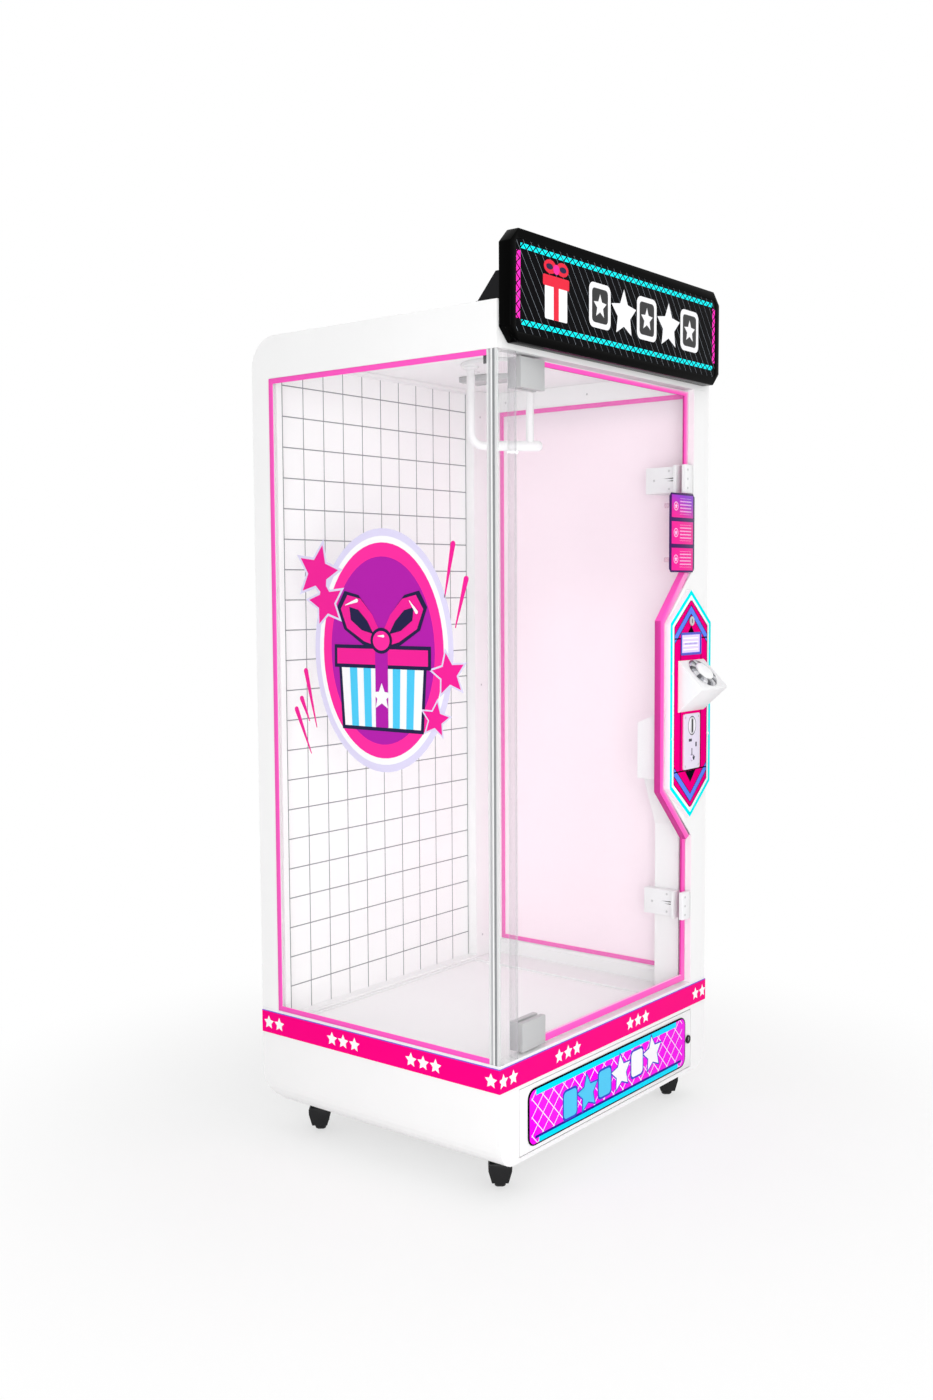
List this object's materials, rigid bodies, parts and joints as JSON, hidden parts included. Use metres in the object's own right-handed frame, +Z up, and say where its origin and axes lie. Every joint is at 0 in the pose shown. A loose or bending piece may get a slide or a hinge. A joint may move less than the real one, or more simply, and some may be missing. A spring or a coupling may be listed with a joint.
{
  "type": "claw crane machine",
  "caption": "Glass-fronted prize-cutting crane cabinet on swivel casters, with a lit top sign, a six-sided control panel with a start button and coin plate, and a turning arm inside.",
  "frame": {"origin": "on the floor under the middle of the bounding box", "axes": "+Z up, front faces -Y, +X to the right as the player faces the front"},
  "size_m": [0.8636, 0.7804, 1.988],
  "materials": {
    "white_paint": "gloss white powder coat",
    "white_board": "gloss white laminate over board",
    "white_steel": "satin white paint",
    "white_liner": "white sheet with thin grey square lines",
    "white_plastic": "moulded white",
    "cap_white": "translucent white",
    "pale_pink": "pale pink sheet",
    "band_pink": "hot pink film with white stars",
    "trim_pink": "pink extruded edging",
    "graphic_magenta": "magenta back-printed acrylic",
    "panel_pink": "hot pink printed panel with cyan outline",
    "card_purple": "magenta and purple printed card",
    "display": "pale lit display window",
    "clear_glass": "clear toughened glass",
    "clear_plastic": "clear extruded profile",
    "patch_steel": "sandblasted light grey",
    "steel": "brushed",
    "chrome": "bright plated",
    "black_plastic": "black moulded",
    "sign_black": "black back-printed sign sheet",
    "black_steel": "black paint",
    "caster_rubber": "black"
  },
  "bodies": {
    "cabinet": {"base_shell": "white_paint", "deck_panel": "white_board", "sill_frame": "white_board", "waist_band": "band_pink", "left_side_frame": "white_board", "right_side_frame": "white_board", "back_panel": "white_board", "roof_panel": "white_paint", "rear_frame": "white_board", "grid_panel": "white_liner", "right_wall_panel": "pale_pink", "ceiling_panel": "white_paint", "front_header": "white_paint", "front_right_post": "white_paint", "corner_profile": "clear_plastic", "left_glass": "clear_glass", "corner_glass": "clear_glass", "hinge_side_strip": "clear_plastic", "left_window_trim": "trim_pink", "upper_lock_case": "white_steel", "lower_lock_case": "white_steel", "control_panel": "panel_pink", "display_screen": "display", "coin_plate": "steel", "coin_acceptor_box": "white_plastic", "coin_duct": "white_paint", "cash_box": "steel", "button_housing": "white_plastic", "button_bezel": "chrome", "sign_box": "black_plastic", "sign_face": "sign_black", "sign_bracket": "black_steel", "arm_drive": "black_steel", "power_inlet": "black_plastic"},
    "front_door": {"front_door_glass": "clear_glass", "front_door_trim": "trim_pink", "upper_hinge_patch": "patch_steel", "lower_hinge_patch": "patch_steel", "upper_strike": "white_steel", "lower_strike": "white_steel", "instruction_card": "card_purple"},
    "upper_bolt": {"upper_lock_bolt": "steel"},
    "lower_bolt": {"lower_lock_bolt": "steel"},
    "service_door": {"service_door": "white_paint", "service_graphic": "graphic_magenta"},
    "service_lock": {"service_lock": "steel"},
    "key_switch": {"key_switch": "steel"},
    "start_button": {"start_button_cap": "cap_white"},
    "coin_return": {"coin_return_button": "black_plastic"},
    "power_switch": {"power_switch": "black_plastic"},
    "cutter_arm": {"cutter_arm": "white_steel"},
    "cutter_blade": {"cutter_blade": "steel"},
    "front_left_caster_swivel": {"front_left_caster_fork": "black_steel"},
    "front_left_caster_wheel": {"front_left_caster_wheel": "caster_rubber"},
    "rear_left_caster_swivel": {"rear_left_caster_fork": "black_steel"},
    "rear_left_caster_wheel": {"rear_left_caster_wheel": "caster_rubber"},
    "front_right_caster_swivel": {"front_right_caster_fork": "black_steel"},
    "front_right_caster_wheel": {"front_right_caster_wheel": "caster_rubber"},
    "rear_right_caster_swivel": {"rear_right_caster_fork": "black_steel"},
    "rear_right_caster_wheel": {"rear_right_caster_wheel": "caster_rubber"}
  },
  "joints": [
    {"name": "front_door_hinge", "type": "hinge", "parent": "cabinet", "child": "front_door", "pos_m": [-0.325, -0.28935, 1], "axis": [0, 0, -1], "range_deg": [0, 100]},
    {"name": "upper_bolt_slide", "type": "slide", "parent": "cabinet", "child": "upper_bolt", "axis": [-1, 0, 0], "range_m": [0, 0.0075]},
    {"name": "lower_bolt_slide", "type": "slide", "parent": "cabinet", "child": "lower_bolt", "axis": [-1, 0, 0], "range_m": [0, 0.0075]},
    {"name": "service_door_hinge", "type": "hinge", "parent": "cabinet", "child": "service_door", "pos_m": [-0.358, -0.31015, 0.159], "axis": [0, 0, -1], "range_deg": [0, 110]},
    {"name": "service_lock_turn", "type": "hinge", "parent": "service_door", "child": "service_lock", "pos_m": [0.3465, -0.31215, 0.1586], "axis": [0, -1, 0], "range_deg": [0, 90]},
    {"name": "key_turn", "type": "hinge", "parent": "cabinet", "child": "key_switch", "pos_m": [0.326, -0.32615, 1.1995], "axis": [0, -1, 0], "range_deg": [0, 90]},
    {"name": "start_button_press", "type": "slide", "parent": "cabinet", "child": "start_button", "axis": [0, 0.7032, -0.711], "range_m": [0, 0.004], "stiffness_N_per_m": 400},
    {"name": "coin_return_press", "type": "slide", "parent": "cabinet", "child": "coin_return", "axis": [0, 1, 0], "range_m": [0, 0.004], "stiffness_N_per_m": 300},
    {"name": "power_switch_rock", "type": "hinge", "parent": "cabinet", "child": "power_switch", "pos_m": [0.268, 0.38215, 0.2], "axis": [0, 0, -1], "range_deg": [0, 10]},
    {"name": "cutter_arm_turn", "type": "hinge", "parent": "cabinet", "child": "cutter_arm", "pos_m": [0, 0.00285, 1.8], "axis": [0, 0, 1], "range_deg": [-90, 90]},
    {"name": "cutter_blade_slide", "type": "slide", "parent": "cutter_arm", "child": "cutter_blade", "axis": [0.7071, -0.7071, 0], "range_m": [0, 0.012]},
    {"name": "front_left_caster_swivel_turn", "type": "hinge", "parent": "cabinet", "child": "front_left_caster_swivel", "pos_m": [-0.35, -0.25215, 0.075], "axis": [0, 0, 1], "continuous": true},
    {"name": "front_left_caster_wheel_roll", "type": "hinge", "parent": "front_left_caster_swivel", "child": "front_left_caster_wheel", "pos_m": [-0.33897, -0.24353, 0.025], "axis": [-0.6157, 0.788, 0], "continuous": true},
    {"name": "rear_left_caster_swivel_turn", "type": "hinge", "parent": "cabinet", "child": "rear_left_caster_swivel", "pos_m": [-0.35, 0.28185, 0.075], "axis": [0, 0, 1], "continuous": true},
    {"name": "rear_left_caster_wheel_roll", "type": "hinge", "parent": "rear_left_caster_swivel", "child": "rear_left_caster_wheel", "pos_m": [-0.33897, 0.29047, 0.025], "axis": [-0.6157, 0.788, 0], "continuous": true},
    {"name": "front_right_caster_swivel_turn", "type": "hinge", "parent": "cabinet", "child": "front_right_caster_swivel", "pos_m": [0.35, -0.25215, 0.075], "axis": [0, 0, 1], "continuous": true},
    {"name": "front_right_caster_wheel_roll", "type": "hinge", "parent": "front_right_caster_swivel", "child": "front_right_caster_wheel", "pos_m": [0.36103, -0.24353, 0.025], "axis": [-0.6157, 0.788, 0], "continuous": true},
    {"name": "rear_right_caster_swivel_turn", "type": "hinge", "parent": "cabinet", "child": "rear_right_caster_swivel", "pos_m": [0.35, 0.28185, 0.075], "axis": [0, 0, 1], "continuous": true},
    {"name": "rear_right_caster_wheel_roll", "type": "hinge", "parent": "rear_right_caster_swivel", "child": "rear_right_caster_wheel", "pos_m": [0.36103, 0.29047, 0.025], "axis": [-0.6157, 0.788, 0], "continuous": true}
  ],
  "couplings": [
    {"joint": "lower_bolt_slide", "follows": "upper_bolt_slide", "ratio": 1}
  ]
}
